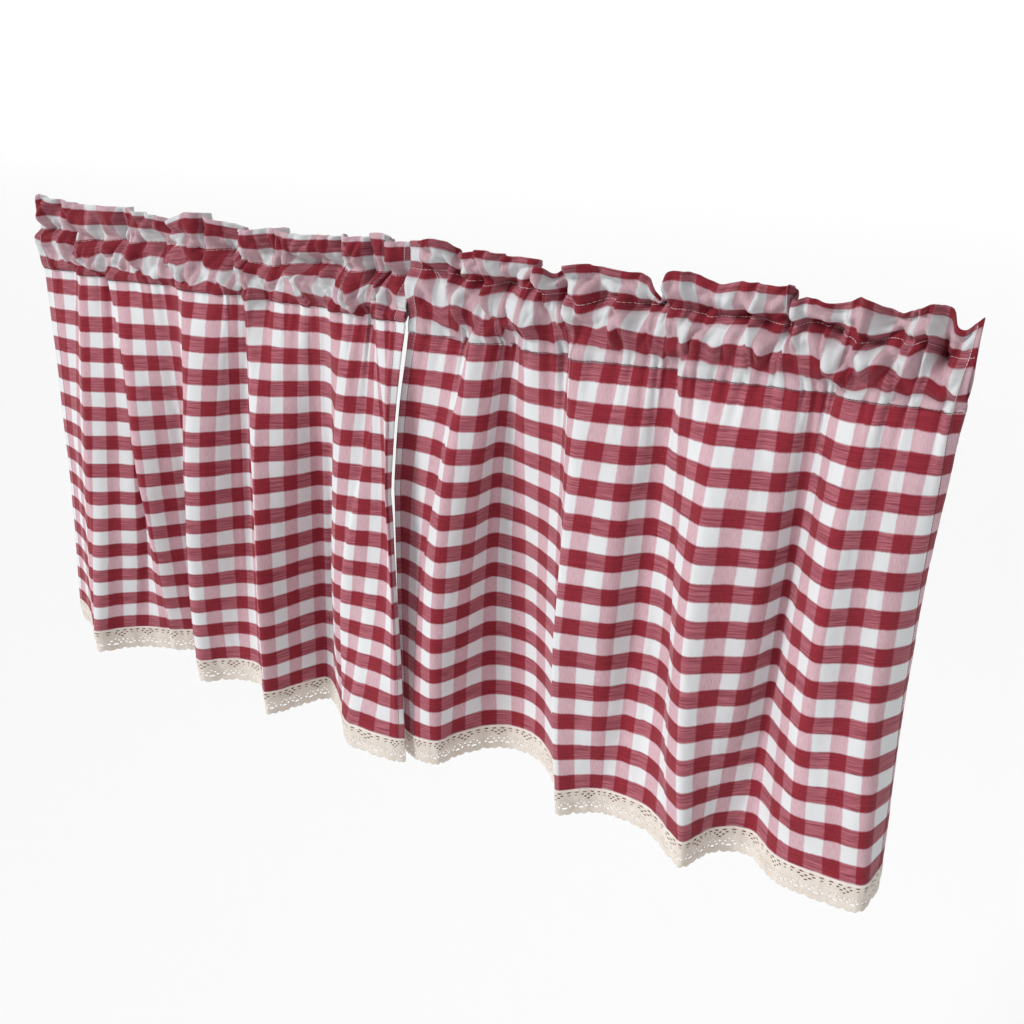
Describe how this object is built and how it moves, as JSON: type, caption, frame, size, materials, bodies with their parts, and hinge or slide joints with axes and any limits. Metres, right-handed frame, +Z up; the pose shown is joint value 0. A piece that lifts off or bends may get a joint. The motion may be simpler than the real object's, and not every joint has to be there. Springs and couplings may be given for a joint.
{
  "type": "window valance",
  "caption": "Short gathered gingham window valance in side-by-side panels, with ruffled rod-pocket headings, soft uneven folds and crochet lace along the hems.",
  "frame": {"origin": "on the rod's line, midway along the top edge of the headings", "axes": "+X along the rod to the right as seen from the room, -Y towards the room, +Z up"},
  "size_m": [1.1877, 0.1334, 0.6131],
  "materials": {
    "gingham_double": "red and white cotton check, two layers, matt",
    "gingham": "red and white cotton check, one thin layer, matt",
    "cotton_lace": "unbleached crochet cotton, matt"
  },
  "bodies": {
    "root": {"heading_left": "gingham_double", "heading_right": "gingham_double", "panel_left": "gingham", "panel_right": "gingham", "lace_left": "cotton_lace", "lace_right": "cotton_lace"}
  },
  "joints": []
}
